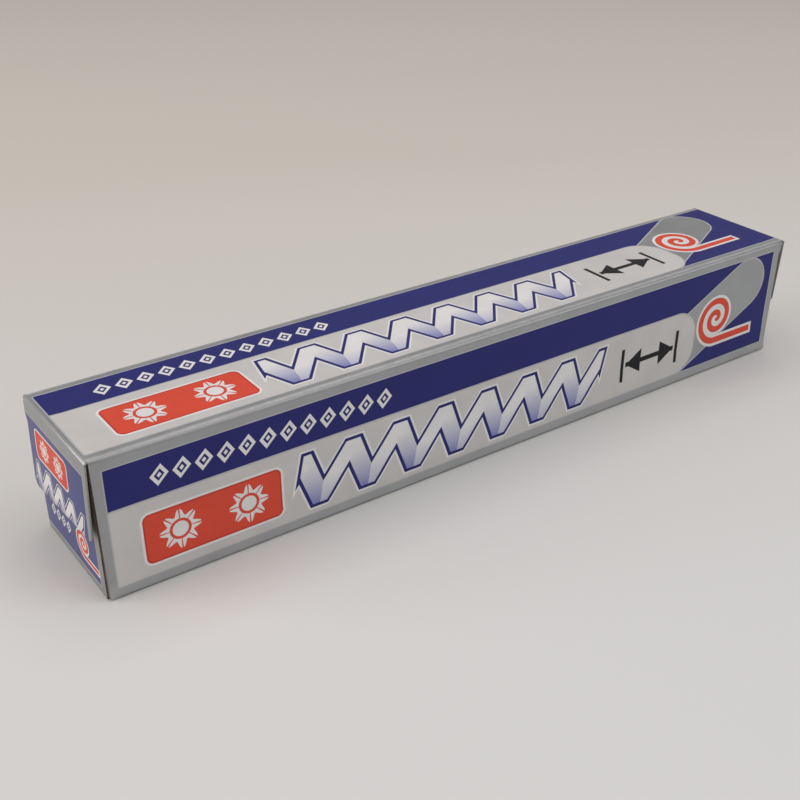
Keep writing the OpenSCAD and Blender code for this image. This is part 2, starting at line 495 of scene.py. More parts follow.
def makeRollMark():  # a spiral of sheet with its end drawn off
    group, given, made = newShape(
        "rollMark", ["Centre", "Middle", "Pitch", "Turns", "Stroke", "Sheet", "Halo"], ["Ink", "Halo"])
    along, down, centre, middle, pitch, turns, stroke, sheet, halo = given
    across, below = along - centre, down - middle
    turn = calc("FRACT", calc("ARCTAN2", across, below) / (2 * math.pi))
    phase = length(across, below) / pitch - turn
    winding = least(calc("ROUND", phase), turns - 1.0)
    beside = most(across * -1.0, across - sheet)
    drawn = most(abs(below - pitch * turns), beside + stroke * 0.5)
    distance = least(abs(phase - winding) * pitch, drawn) - stroke * 0.5
    feed(made["Ink"], printed(distance))
    feed(made["Halo"], printed(distance - halo))
    return group


def makeSweep():  # a slanted bar with round ends
    group, given, made = newShape("sweep", ["First", "Low", "Last", "High", "Radius"], ["Distance"])
    along, down, first, low, last, high, radius = given
    barAlong, barDown = last - first, high - low
    across, below = along - first, down - low
    share = clamped((across * barAlong + below * barDown) / (barAlong * barAlong + barDown * barDown))
    feed(made["Distance"], length(across - share * barAlong, below - share * barDown) - radius)
    return group


def makeSizeArrow():  # a line between two end bars, with a head at each
    group, given, made = newShape("sizeArrow", ["First", "Last", "Middle", "Head", "Half bar"], ["Ink"])
    along, down, first, last, middle, head, halfBar = given
    off = abs(down - middle)
    fromEnd = (last - first) * 0.5 - abs(along - (first + last) * 0.5)
    headIn = fromEnd - motif["headGap"]
    line = most(off - motif["arrowLine"], motif["headGap"] - fromEnd)
    point = most(off - headIn * motif["headSlope"], headIn - head)
    bar = most(off - halfBar, abs(fromEnd - motif["arrowBar"]) - motif["arrowBar"])
    feed(made["Ink"], printed(least(bar, least(line, point))))
    return group


print("print shapes")
panelShape = makePanelShape()
lozengeRow = makeLozengeRow()
foldedRibbon = makeFoldedRibbon()
rosette = makeRosette()
rollMark = makeRollMark()
sweep = makeSweep()
sizeArrow = makeSizeArrow()


# the long faces: silver border, navy band over a pale field, plain motifs

longFace = {
    "bandTop": 3.3, "bandLow": 15.75, "keyLine": 0.35, "fieldLeft": -20.0, "fieldEnd": 216.0,
    "fieldCorner": 9.5, "fieldDrop": 0.2, "plainReach": 100.0,
    "fieldInks": ((0.5, "edgeLine"), (0.0, "pale")),
    "plate": {"Left": 12.3, "Right": 52.5, "Top": 19.9, "Low": 34.9, "Corner": 2.0},
    "plateInks": ((0.7, "white"), (0.0, "redRim"), (-0.5, "red")),
    "rosettes": (22.4, 42.4), "rosette": {"Middle": 27.4, "Radius": 6.0},
    "row": {"First": 15.2, "Last": 89.6, "Pitch": 6.2, "Middle": 9.4, "Half width": 2.6, "Half height": 3.1},
    "ribbon": {"First": 58.0, "Last": 171.0, "Period": 16.15, "Middle": 27.2, "Rise": 7.0, "Cap": 8.2,
               "Half width": 2.6, "Line": 1.0, "Halo": 0.6},
    "arrow": {"First": 181.0, "Last": 208.0, "Middle": 27.6, "Head": 7.0, "Half bar": 6.0},
    "sweep": {"First": 205.0, "Low": 30.5, "Last": 240.0, "High": 12.5, "Radius": 9.2},
    "sweepInks": ((0.5, "edgeLine", 0.0), (0.0, "silver", 1.0)),
    "mark": {"Centre": 226.5, "Middle": 22.0, "Pitch": 4.3, "Turns": 2.0, "Stroke": 2.3, "Sheet": 19.0,
             "Halo": 1.0},
}

# each long face: its border's inner ends and lower edge, the band where painted light turns the silver paler
# (low on the walls, beside the front fold on the top), its slant
printOn = {
    "front": {"sides": (4.0, 253.0), "low": 38.3, "paintedLitBand": (36.0, 40.0), "shift": -0.45, "slant": 0.003},
    "top": {"sides": (1.7, 258.4), "low": 38.6, "paintedLitBand": (39.5, 41.5), "shift": 0.0, "slant": 0.0035},
    "tray": {"sides": (4.0, 254.2), "low": 38.3, "paintedLitBand": (36.0, 40.0), "shift": 0.0, "slant": 0.0},
}

# the round of the front fold: how its wear and painted highlight fade down and in, how far down painted shade
# darkens its silver, and how much of the top's print lies on the round of the back fold
roundFront = {"downWeight": 1.4, "inWeight": 3.0, "shade": 1.2, "lap": 0.3}

# the two ends carry the same motifs, smaller, on the navy lightened by a painted sheen
endFace = {
    "skin": 0.3,  # a point belongs to an outer face from this near
    "bandLow": 4.9, "left": -2.0, "flapRight": 39.4, "trayRight": 37.6, "fieldLow": 39.6, "keyLine": 0.3,
    "plate": {"Left": 6.5, "Right": 28.0, "Top": 7.2, "Low": 15.4, "Corner": 1.4},
    "plateInks": ((0.5, "white"), (0.0, "red")),
    "rosettes": (12.4, 22.1), "rosette": {"Middle": 11.3, "Radius": 3.4},
    "row": {"First": 5.2, "Last": 19.6, "Pitch": 3.6, "Middle": 32.6, "Half width": 1.6, "Half height": 2.2},
    "ribbon": {"First": 4.0, "Last": 36.0, "Period": 8.0, "Middle": 22.4, "Rise": 3.8, "Cap": 4.4,
               "Half width": 1.25, "Line": 0.5, "Halo": 0.3},
    "mark": {"Centre": 28.0, "Middle": 32.0, "Pitch": 2.1, "Turns": 2.0, "Stroke": 1.15, "Sheet": 9.0,
             "Halo": 0.6},
}


def layFrame(group, face, edges, keyLine, border, ground):  # the key line and what it frames
    framed = useGroup(group, panelShape, **face, **edges, Corner=motif["frameCorner"], Grow=keyLine)["Inside"]
    field = useGroup(group, panelShape, **face, **edges, Corner=motif["fieldCorner"])["Inside"]
    return framed, field, layInk(field, layInk(framed, border, inks["edgeLine"]), ground)


def layMotifs(group, face, lay, motifs, colour):  # plate, rosettes, lozenges and ribbon
    for grow, ink in lay["plateInks"]:
        shape = useGroup(group, panelShape, **face, **lay["plate"], Grow=grow)["Inside"]
        colour = layInk(shape * motifs, colour, inks[ink])
    for centre in lay["rosettes"]:
        ink = useGroup(group, rosette, **face, **lay["rosette"], Centre=centre)["Ink"]
        colour = layInk(ink * motifs, colour, inks["white"])
    row = useGroup(group, lozengeRow, **face, **lay["row"])["Ink"]
    colour = layInk(row * motifs, colour, inks["white"])
    ribbon = useGroup(group, foldedRibbon, **face, **lay["ribbon"])
    sheet = layInk(ribbon["Shade"], inks["white"], inks["shade"])
    for label, ink in (("Halo", inks["white"]), ("Outline", inks["navy"]), ("Fill", sheet)):
        colour = layInk(ribbon[label] * motifs, colour, ink)
    return colour


def layMark(group, face, lay, motifs, colour):
    mark = useGroup(group, rollMark, **face, **lay["mark"])
    halo, ink = mark["Halo"] * motifs, mark["Ink"] * motifs
    return halo, ink, layInk(ink, layInk(halo, colour, inks["white"]), inks["red"])


def makeLongArtwork():
    group, given, made = newGroup(
        "longArtwork", {"Along": 0.0, "Down": 0.0, "Left": 3.0, "Right": 255.0, "Low": 38.3,
                        "Motifs": 1.0, "Border": inks["silver"]}, ["Colour", "Silver"])
    along, down, left, right, low, motifs, border = given
    face, lay = {"Along": along, "Down": down}, longFace
    edges = {"Left": left, "Right": right, "Top": lay["bandTop"], "Low": low}
    framed, field, colour = layFrame(group, face, edges, lay["keyLine"], border, inks["navy"])
    silver = 1.0 - framed

    bar = useGroup(group, sweep, **face, **lay["sweep"])["Distance"]
    for grow, ink, shine in lay["sweepInks"]:
        mask = field * motifs * printed(bar - grow)
        colour = layInk(mask, colour, inks[ink])
        silver = silver * (1.0 - mask) + mask * shine

    farEnd = (1.0 - motifs) * lay["plainReach"] + lay["fieldEnd"]
    for grow, ink in lay["fieldInks"]:
        shape = useGroup(group, panelShape, **face, Left=lay["fieldLeft"], Right=farEnd, Top=lay["bandLow"],
                         Low=low + lay["fieldDrop"], Corner=lay["fieldCorner"], Grow=grow)["Inside"]
        mask = shape * field
        colour = layInk(mask, colour, inks[ink])
        silver = silver * (1.0 - mask)

    colour = layMotifs(group, face, lay, motifs, colour)
    arrow = useGroup(group, sizeArrow, **face, **lay["arrow"])["Ink"]
    colour = layInk(arrow * motifs, colour, inks["black"])
    halo, ink, colour = layMark(group, face, lay, motifs, colour)
    feed(made["Colour"], colour)
    feed(made["Silver"], silver * (1.0 - halo) * (1.0 - ink))
    return group


def makeEndArtwork():
    group, given, made = newGroup(
        "endArtwork", {"Along": 0.0, "Down": 0.0, "Right": 39.4, "Motifs": 1.0}, ["Colour", "Silver"])
    along, down, right, motifs = given
    face, lay = {"Along": along, "Down": down}, endFace
    edges = {"Left": lay["left"], "Right": right, "Top": lay["bandLow"], "Low": lay["fieldLow"]}
    # the ground is the navy with a painted sheen
    framed, _, colour = layFrame(group, face, edges, lay["keyLine"], inks["silver"], inks["navyWithPaintedSheen"])
    colour = layMotifs(group, face, lay, motifs, colour)
    feed(made["Colour"], layMark(group, face, lay, motifs, colour)[2])
    feed(made["Silver"], 1.0 - framed)
    return group


grain = {  # noise patterns: scale, detail, roughness and stretch
    "patches": (420.0, 4.0, 0.7), "stretches": (30.0,),
    "fleck": (700.0, 4.0, 0.75, (0.35, 1.0, 1.0)), "plies": (1500.0, 3.0, 0.7), "fray": (60.0,),
    "lines": (2600.0, 2.0, 0.6, (1.0, 0.02, 0.02)), "crinkle": (120.0, 4.0, 0.55),
    "sag": (28.0, 2.0, 0.5, (0.35, 1.0, 1.0)), "drawn": (1800.0, 3.0, 0.65, (0.03, 1.0, 1.0)),
    "stain": (45.0, 3.0), "floor": (3.0,),
}
fibres = {"mottle": 0.12, "speck": 3.0, "deep": 0.012 * mm, "waveDeep": 0.9 * mm}


# what every board surface shares: fibre, mottling and the soft waves of a thin sheet

def makeBoardTooth():
    group, given, made = newGroup(
        "boardTooth", {"Place": (0.0, 0.0, 0.0), "Fibre": 900.0, "Waves": 18.0},
        ["Mottle", "Height", "Speck"])
    place, fibre, waves = given
    fine = noise(place, fibre, detail=3.0, rough=0.6)
    wave = noise(place, waves, detail=1.0, stretch=(0.5, 1.0, 1.0))
    feed(made["Mottle"], spread(noise(place, fibre * fibres["mottle"]), 0.3, 0.7))
    feed(made["Height"], fine * fibres["deep"] + wave * fibres["waveDeep"])
    feed(made["Speck"], spread(noise(place, fibre * fibres["speck"], detail=1.0), 0.35, 0.65))
    return group


def makeFoldWearAndHighlight():  # ink cracked pale along a fold, which also paints a highlight along the fold's ridge
    group, given, made = newGroup(
        "foldWearAndHighlight", {"Place": (0.0, 0.0, 0.0), "Distance": 1.0, "Reach": 1.7, "Amount": 0.42}, ["Worn"])
    place, distance, reach, amount = given
    close = clamped(1.0 - distance / reach)
    patches, stretches = noise(place, *grain["patches"]), noise(place, *grain["stretches"])
    rough = spread(patches * 0.6 + stretches * 0.5, 0.34, 0.68)
    feed(made["Worn"], clamped(close * rough * amount))
    return group


print("artwork and surface groups")
longArtwork = makeLongArtwork()
endArtwork = makeEndArtwork()
boardTooth = makeBoardTooth()
foldWearAndHighlight = makeFoldWearAndHighlight()


def newMaterial(name, onBoard=False):  # on board the pattern follows the sheet when a fold bends it
    material = bpy.data.materials.new(name)
    material.use_nodes = True
    tree = material.node_tree
    if onBoard:
        kept = tree.nodes.new("ShaderNodeAttribute")
        kept.attribute_name = "flatPlace"
        place = kept.outputs["Vector"]
    else:
        place = tree.nodes.new("ShaderNodeTexCoord").outputs["Object"]
    return material, tree.nodes["Principled BSDF"], Amount(place)


def finishSurface(shader, colour, roughness, height, metallic=0.0, specular=0.5):
    feed(shader.inputs["Base Color"], colour)
    feed(shader.inputs["Roughness"], roughness)
    feed(shader.inputs["Metallic"], metallic)
    shader.inputs["Specular IOR Level"].default_value = specular
    node = addNode(height, "ShaderNodeBump")
    node.inputs["Strength"].default_value = 1.0
    node.inputs["Distance"].default_value = 1.0
    feed(node.inputs["Height"], height)
    feed(shader.inputs["Normal"], Amount(node.outputs[0]))


# ink on coated board, the same on every face: from and to values of what its mottling changes
coating = {"density": (0.96, 1.04), "flake": (0.45, 0.75), "gloss": (0.36, 0.44), "wornDull": 0.25,
           "specular": 0.1, "foldWearAndHighlight": 0.42, "endWearAndHighlight": 0.12}


def finishPrint(shader, place, art, foldGap, wear):
    tree = shader.id_data
    tooth = useGroup(tree, boardTooth, Place=place)
    # fold wear that cracks the ink pale, also a painted highlight along each fold's ridge
    wearAndHighlight = useGroup(tree, foldWearAndHighlight, Place=place, Distance=foldGap, Amount=wear)["Worn"]
    scaled = tree.nodes.new("ShaderNodeVectorMath")
    scaled.operation = "SCALE"
    feed(scaled.inputs[0], art["Colour"])
    feed(scaled.inputs["Scale"], spread(tooth["Mottle"], 0.0, 1.0, *coating["density"]))
    colour = layInk(wearAndHighlight, Amount(scaled.outputs[0]), inks["white"])
    metallic = art["Silver"] * (1.0 - wearAndHighlight) * spread(tooth["Speck"], 0.0, 1.0, *coating["flake"])
    gloss = spread(tooth["Mottle"], 0.0, 1.0, *coating["gloss"]) + wearAndHighlight * coating["wornDull"]
    finishSurface(shader, colour, gloss, tooth["Height"], metallic, coating["specular"])


def makeLongPrint(name, face, motifs):  # face: top, front or tray
    material, shader, place = newMaterial(name, onBoard=True)
    x, y, z = [axis * 1000.0 for axis in axesOf(place)]
    lay = printOn[face]
    along = x + lidHalf / mm
    low = lay["low"]
    if face == "top":
        toBack = cartonBack / mm - y
        down = toBack + roundFront["lap"]
        foldGap = least(toBack, y - topFlatFront / mm)
        low = along * lay["slant"] + low
    else:
        down = cartonTop / mm - z
    # painted light: the silver turns paler across the band given for each face
    border = layInk(spread(down, *lay["paintedLitBand"]), inks["silver"], inks["silverPaintedLit"])
    if face == "tray":
        foldGap = least(down, z)
    if face == "front":
        foldGap = down * roundFront["downWeight"] + (topFlatFront / mm - y) * roundFront["inWeight"]
        # painted shade: the silver on the round of the front fold is darkened
        border = layInk(spread(down, 0.0, roundFront["shade"], 1.0, 0.0), border, inks["silverPaintedShade"])
    printDown = down + (along * lay["slant"] + lay["shift"])
    left, right = lay["sides"]
    art = useGroup(shader.id_data, longArtwork, Along=along, Down=printDown, Left=left, Right=right, Low=low,
                   Motifs=motifs, Border=border)
    finishPrint(shader, place, art, foldGap, coating["foldWearAndHighlight"])
    return material


def makeEndPrint(name, side):  # side: -1 at the left end, 1 at the right
    material, shader, place = newMaterial(name, onBoard=True)
    x, y, z = [axis * 1000.0 for axis in axesOf(place)]
    along = y * float(side) + cartonBack / mm
    down = cartonTop / mm - z
    onFlap = calc("GREATER_THAN", abs(x), lidHalf / mm - endFace["skin"])
    right = spread(onFlap, 0.0, 1.0, endFace["trayRight"], endFace["flapRight"])
    art = useGroup(shader.id_data, endArtwork, Along=along, Down=down, Right=right)
    # the end folds get the same pale wear and painted highlight, fainter
    finishPrint(shader, place, art, down, coating["endWearAndHighlight"])
    return material


# the plain surfaces: their colours from dark to pale

finish = {
    "board": ((0.375, 0.342, 0.292, 1), (0.405, 0.371, 0.318, 1)), "boardFleck": (0.17, 0.13, 0.09, 1),
    "cutEdge": ((0.10, 0.075, 0.05, 1), (0.24, 0.195, 0.14, 1), (0.38, 0.34, 0.28, 1)),
    # the same ply as the cut edge, painted paler as painted light for the end flaps' rims
    "cutEdgePaintedLit": ((0.20, 0.19, 0.165, 1), (0.33, 0.32, 0.29, 1), (0.46, 0.45, 0.42, 1)),
    "foil": ((0.58, 0.59, 0.605, 1), (0.73, 0.735, 0.74, 1)),
    "steel": ((0.62, 0.63, 0.65, 1), (0.46, 0.45, 0.43, 1)),
    "core": ((0.40, 0.30, 0.20, 1), (0.47, 0.365, 0.25, 1)), "coreSeam": (0.2, 0.14, 0.09, 1),
    "seamInk": 0.7, "seamPitch": 62 * mm, "seamHalf": 0.012, "seamDeep": 0.15 * mm,
    "crinkleDeep": 0.13 * mm, "sagDeep": 0.5 * mm, "linesDeep": 0.0015 * mm,
    "pliesDeep": 0.05 * mm, "drawnDeep": 0.01 * mm,
}


def makeBareBoard():  # the uncoated inner side
    material, shader, place = newMaterial("bareBoard", onBoard=True)
    tooth = useGroup(shader.id_data, boardTooth, Place=place, Fibre=1400.0)
    fleck = noise(place, *grain["fleck"])
    colour = layInk(tooth["Mottle"], *finish["board"])
    colour = layInk(spread(fleck, 0.62, 0.74, 0.0, 0.5), colour, finish["boardFleck"])
    finishSurface(shader, colour, spread(tooth["Mottle"], 0.0, 1.0, 0.8, 0.9), tooth["Height"], specular=0.2)
    return material


def makeCutEdge(name):  # the middle ply, seen where the board was cut; the paler copy is the same ply painted lit, for the end flaps' rims
    material, shader, place = newMaterial(name, onBoard=True)
    dark, mid, pale = finish[name]
    plies = noise(place, *grain["plies"])
    colour = layInk(spread(plies, 0.35, 0.65), dark, mid)
    colour = layInk(spread(noise(place, *grain["fray"]), 0.55, 0.75, 0.0, 0.5), colour, pale)
    finishSurface(shader, colour, spread(plies, 0.3, 0.7, 0.85, 0.98), plies * finish["pliesDeep"],
                  specular=0.15)
    return material


def makeFoil():
    material, shader, place = newMaterial("rolledFoil")
    lines, crinkle, sag = [noise(place, *grain[name]) for name in ("lines", "crinkle", "sag")]
    height = crinkle * finish["crinkleDeep"] + sag * finish["sagDeep"] + lines * finish["linesDeep"]
    finishSurface(shader, layInk(spread(lines, 0.3, 0.7), *finish["foil"]),
                  spread(lines, 0.3, 0.7, 0.2, 0.32), height, metallic=1.0)
    return material


def makeCutterSteel():
    material, shader, place = newMaterial("cutterSteel")
    drawn, stain = noise(place, *grain["drawn"]), noise(place, *grain["stain"])
    finishSurface(shader, layInk(spread(stain, 0.5, 0.75, 0.0, 0.6), *finish["steel"]),
                  spread(drawn, 0.3, 0.7, 0.26, 0.42), drawn * finish["drawnDeep"], metallic=1.0)
    return material


def makeCorePaper():
    material, shader, place = newMaterial("corePaper")
    x, y, z = axesOf(place)
    tooth = useGroup(shader.id_data, boardTooth, Place=place, Fibre=1100.0)
    low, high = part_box("core_tube")
    turn = calc("ARCTAN2", y - (low.y + high.y) / 2, z - (low.z + high.z) / 2) / (2 * math.pi)
    winding = calc("FRACT", x / finish["seamPitch"] + turn)
    seam = clamped(1.0 - abs(winding - 0.5) / finish["seamHalf"])
    colour = layInk(seam * finish["seamInk"], layInk(tooth["Mottle"], *finish["core"]), finish["coreSeam"])
    finishSurface(shader, colour, spread(tooth["Mottle"], 0.0, 1.0, 0.82, 0.92),
                  tooth["Height"] - seam * finish["seamDeep"], specular=0.2)
    return material


print("materials")
topPrint = makeLongPrint("topPrint", "top", 1.0)
frontPrint = makeLongPrint("frontPrint", "front", 1.0)
trayPrint = makeLongPrint("trayPrint", "tray", 0.0)
leftPrint = makeEndPrint("leftPrint", -1)
rightPrint = makeEndPrint("rightPrint", 1)
bareBoard = makeBareBoard()
cutEdge = makeCutEdge("cutEdge")
cutEdgePaintedLit = makeCutEdge("cutEdgePaintedLit")
rolledFoil = makeFoil()
cutterSteel = makeCutterSteel()
corePaper = makeCorePaper()


# lid panel with the fold at its back

lid = {"cells": (64, 10), "bow": 0.10 * mm, "ripple": 0.08 * mm, "grain": 45 * mm}


def makeLid():
    piece = addSheet("lidPanel", (0, (topFlatBack + topFlatFront) / 2, cartonTop),
                     (2 * lidEnd, topFlatBack - topFlatFront), (0, 0, 0), lid["cells"])
    openPiece(piece)
    pressValley(piece, (0, topFlatBack - fold["valleyOff"], cartonTop), (0, 1, 0), (0, 0, -1))
    scoreLine(piece, (0, topFlatFront + fold["creaseOff"], cartonTop), (0, 1, 0), fold["creaseWidth"],
              (0, 0, -fold["creaseDeep"]))
    for side in (-1, 1):
        pressValley(piece, (side * (lidEnd - fold["valleyOff"]), 0, cartonTop), (1, 0, 0), (0, 0, -1))
        cutAt((side * foldHalf, 0, 0), (1, 0, 0))
    roundFold(piece, lambda co: near(co.y, topFlatBack) and abs(co.x) < foldHalf + hair,
              (0, topFlatBack, foldLevel), (1, 0, 0))
    faceOut(piece, (0, 0, 1))
    closePiece()
    slackWeights(piece, (-lidEnd, topFlatFront, 0), (lidEnd, topFlatBack, 0), fold["stiff"])
    bowPanel(piece, lid)
    thickenBoard(piece, topPrint, bareBoard, cutEdge)
    openPiece(piece)
    pick(piece, "VERT", lambda co: co.z > cartonTop)  # nothing stands over the carton's top
    scaleFrom((0, 0, cartonTop), 1, 1, 0)
    closePiece()
    keepPlace(piece)
    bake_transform(piece)
    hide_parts("lid_panel")


print("lid panel")
makeLid()


# front flap with the fold along its top

flap = {"cells": (64, 10), "taper": 0.5 * mm, "rightInset": 1.1 * mm, "rightFoot": 0.5 * mm,
        "lastColumn": 2 * mm, "bow": 0.12 * mm, "ripple": 0.14 * mm, "grain": 38 * mm}


def makeFrontFlap():
    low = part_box("front_flap")[0].z
    piece = addSheet("frontFlap", (0, cartonFront, (low + foldLevel) / 2), (2 * foldHalf, foldLevel - low),
                     (math.pi / 2, 0, 0), flap["cells"])
    openPiece(piece)
    rows = flap["cells"][1]
    for row in range(rows):
        level = low + (foldLevel - low) * row / rows
        inset = flap["taper"] * (1 - row / rows)
        pick(piece, "VERT", lambda co: near(co.z, level))
        scaleFrom((0, cartonFront, level), 1 - inset / foldHalf, 1, 1)
        pick(piece, "VERT", lambda co: near(co.z, level) and co.x > foldHalf - flap["lastColumn"])
        moveBy(-flap["rightInset"] if row else -flap["rightFoot"], 0, 0)
    pressValley(piece, (0, cartonFront, foldLevel - fold["valleyOff"]), (0, 0, 1), (0, 1, 0))
    roundFold(piece, lambda co: near(co.z, foldLevel), (0, topFlatFront, foldLevel), (1, 0, 0))
    faceOut(piece, (0, -1, 0))
    closePiece()
    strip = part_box("cutter_strip")[1].z  # over the strip the board stays flat
    slackWeights(piece, (-foldHalf, 0, strip), (foldHalf, 0, foldLevel), fold["stiff"])
    bowPanel(piece, flap)
    thickenBoard(piece, frontPrint, bareBoard, cutEdge)
    keepPlace(piece)
    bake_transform(piece)
    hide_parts("front_flap")


print("front flap")
makeFrontFlap()


# end flaps, both drawn at the left end, the right one then mirrored

endFlap = {"inset": 0.1 * mm, "taper": 0.7 * mm, "frontRadius": 1.8 * mm,
           "backRadius": 3 * mm, "backStep": 1.3 * mm, "backFrom": 6 * mm, "drop": 26.8 * mm,
           "slant": 3.4 * mm, "tilt": {"left": math.radians(2), "right": math.radians(-1)}, "rows": 12,
           "margin": 0.1 * mm}


def makeEndFlap(end, art):
    tilt = endFlap["tilt"][end]
    front, back = cartonFront + endFlap["inset"], cartonBack - endFlap["inset"]
    low = cartonTop - endFlap["drop"]
    piece = addSheet(end + "EndFlap", (-lidHalf, (front + back) / 2, (foldLevel + low) / 2),
                     (back - front, foldLevel - low), (math.pi / 2, 0, -math.pi / 2), (1, 1))
    openPiece(piece)
    pick(piece, "VERT", lambda co: near(co.z, low) and near(co.y, front))
    moveBy(0, endFlap["taper"], endFlap["slant"])
    roundCorners(endFlap["frontRadius"], 10)
    pick(piece, "VERT", lambda co: near(co.z, low) and near(co.y, back))
    roundCorners(endFlap["backRadius"], 8)
    for row in range(1, endFlap["rows"]):
        cutAt((0, 0, low + (foldLevel - low) * row / endFlap["rows"]), (0, 0, 1))
    pick(piece, "VERT", lambda co: co.y > back - endFlap["backRadius"] - endFlap["margin"]
         and co.z < foldLevel - endFlap["backFrom"])
    moveBy(0, -endFlap["backStep"], 0)
    pressValley(piece, (-lidHalf, 0, foldLevel - fold["valleyOff"]), (0, 0, 1), (1, 0, 0))
    pickAll()
    corner = (-lidEnd, 0, foldLevel)
    bpy.ops.transform.rotate(value=-tilt, orient_axis="Y", center_override=corner)
    roundFold(piece, lambda co: co.z > foldLevel - endFlap["margin"], corner, (0, 1, 0), tilt - math.pi / 2)
    faceOut(piece, (-1, 0, 0))
    closePiece()
    # the end flaps' rims get the paler cut edge, painted light
    thickenBoard(piece, art, bareBoard, cutEdgePaintedLit)
    if end == "right":
        openPiece(piece)
        pickAll()
        scaleFrom((0, 0, 0), -1, 1, 1)
        bpy.ops.mesh.normals_make_consistent(inside=False)
        closePiece()
    keepPlace(piece)
    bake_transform(piece)
    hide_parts(end + "_end_flap")


print("end flaps")
makeEndFlap("left", leftPrint)
makeEndFlap("right", rightPrint)


# the tray: one blank, its walls folded up, its side flaps folded in behind the end panels

tray = {"cells": (128, 10), "frontTop": 35 * mm, "endDrop": 0.3 * mm, "levels": (10 * mm, 27 * mm),
        "foldRadius": 0.4 * mm, "foldSteps": 5, "ply": 0.02 * mm, "inset": 0.45 * mm,
        "dipWidth": 120 * mm, "dipDeep": 6 * mm, "dipFrom": 20 * mm,
        "dustLong": 18 * mm, "dustLow": 0.95 * mm, "dustDrop": 2 * mm, "dustCorner": 4 * mm}


def makeTray():
    low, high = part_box("carton_tray")
    wallEnd = high.x - boardThick - tray["ply"]
    endTop = folds["lid_fold"].z - tray["endDrop"]
    dustFrontTop = tray["frontTop"] - tray["dustDrop"]
    dustBackTop = endTop - tray["dustDrop"]
    piece = addSheet("cartonTray", (0, (low.y + high.y) / 2, 0), (2 * high.x, high.y - low.y),
                     (math.pi, 0, 0), tray["cells"])
    openPiece(piece)
    for side in (-1, 1):
        cutAt((side * wallEnd, 0, 0), (1, 0, 0))
    cutAt((0, low.y + tray["inset"], 0), (0, 1, 0))
    cutAt((0, high.y - tray["inset"], 0), (0, 1, 0))
    pick(piece, "FACE", lambda co: abs(co.x) > wallEnd - hair
         and (co.y < low.y + tray["inset"] + hair or co.y > high.y - tray["inset"] - hair))
    bpy.ops.mesh.delete(type="FACE")

    pick(piece, "EDGE", lambda co: near(co.y, low.y))
    drawOut((0, 0, tray["frontTop"]))
    pick(piece, "EDGE", lambda co: near(co.y, high.y))
    drawOut((0, 0, foldLevel))
    for side in (-1, 1):
        pick(piece, "EDGE", lambda co: near(co.x, side * high.x))
        drawOut((0, 0, endTop))
    for level in sorted((*tray["levels"], tray["dustLow"], tray["dipFrom"], dustFrontTop, dustBackTop)):
        cutAt((0, 0, level), (0, 0, 1))
    for side in (-1, 1):
        for wall, inward, top in ((low.y, 1, dustFrontTop), (high.y, -1, dustBackTop)):
            pick(piece, "EDGE", lambda co: near(co.x, side * wallEnd) and near(co.y, wall)
                 and tray["dustLow"] - hair < co.z < top + hair)
            drawOut((0, inward * tray["dustLong"], 0))
            tip = wall + inward * tray["dustLong"]
            pick(piece, "VERT", lambda co: near(co.x, side * wallEnd) and near(co.y, tip)
                 and (near(co.z, top) or near(co.z, tray["dustLow"])))
            roundCorners(tray["dustCorner"], 6)
    for test in (lambda co: near(co.y, low.y) or near(co.y, high.y), lambda co: near(abs(co.x), high.x)):
        pick(piece, "EDGE", lambda co: near(co.z, 0) and test(co))
        bpy.ops.mesh.bevel(offset=tray["foldRadius"], segments=tray["foldSteps"])
    faceOut(piece, (0, 0, -1))
    closePiece()
    dipFrontWall(piece, low.y)
    thickenBoard(piece, trayPrint, bareBoard, cutEdge, leftPrint, rightPrint)
    for face in piece.data.polygons:  # the outer faces of the two end panels
        if face.material_index == 0 and abs(face.center.x) > high.x - endFace["skin"] * mm:
            face.material_index = 3 if face.center.x < 0 else 4
    keepPlace(piece)
    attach(piece, "tray")
    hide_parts("carton_tray")


def dipFrontWall(piece, wall):  # a shallow round dip for the thumb, in the wall behind the flap
    half, deep = tray["dipWidth"] / 2, tray["dipDeep"]
    radius = (half * half + deep * deep) / (2 * deep)
    columns = sorted({round(vertex.co.x, 6) for vertex in piece.data.vertices if abs(vertex.co.x) < half})
    openPiece(piece)
    for column in columns:
        drop = math.sqrt(radius * radius - column * column) - (radius - deep)
        pick(piece, "VERT", lambda co: near(co.y, wall) and near(co.x, column) and co.z > tray["dipFrom"])
        scaleFrom((0, 0, tray["dipFrom"]), 1, 1, 1 - drop / (tray["frontTop"] - tray["dipFrom"]))
    closePiece()


print("tray")
makeTray()


# the wound foil and its last turn, whose free edge has sprung off the roll

roll = {"vertices": 144, "turnsShown": 14, "ringDeep": 0.25 * mm, "ringWave": 2.4, "steps": 25,
        "swell": 0.04 * mm, "swellWave": 1.9, "lap": 0.15 * mm, "boreGap": 0.05 * mm, "bodyGap": 0.01 * mm,
        "tailStart": 100, "tailAngle": 34, "tailStep": 3, "tailLift": 0.85 * mm, "tailThick": 0.03 * mm,
        "tailCells": 125, "crinkle": 0.22 * mm, "creaseGrain": 14 * mm,
        "boundCrinkle": 0.02, "freeFrom": 0.3 * mm}


def rollShape():
    low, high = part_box("core_tube")
    centre = Vector((0, (low.y + high.y) / 2, (low.z + high.z) / 2))
    bore = (high.y - low.y) / 2 + roll["boreGap"]
    outer = centre.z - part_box("foil_roll")[0].z
    return centre, bore, outer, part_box("foil_roll")[1].x


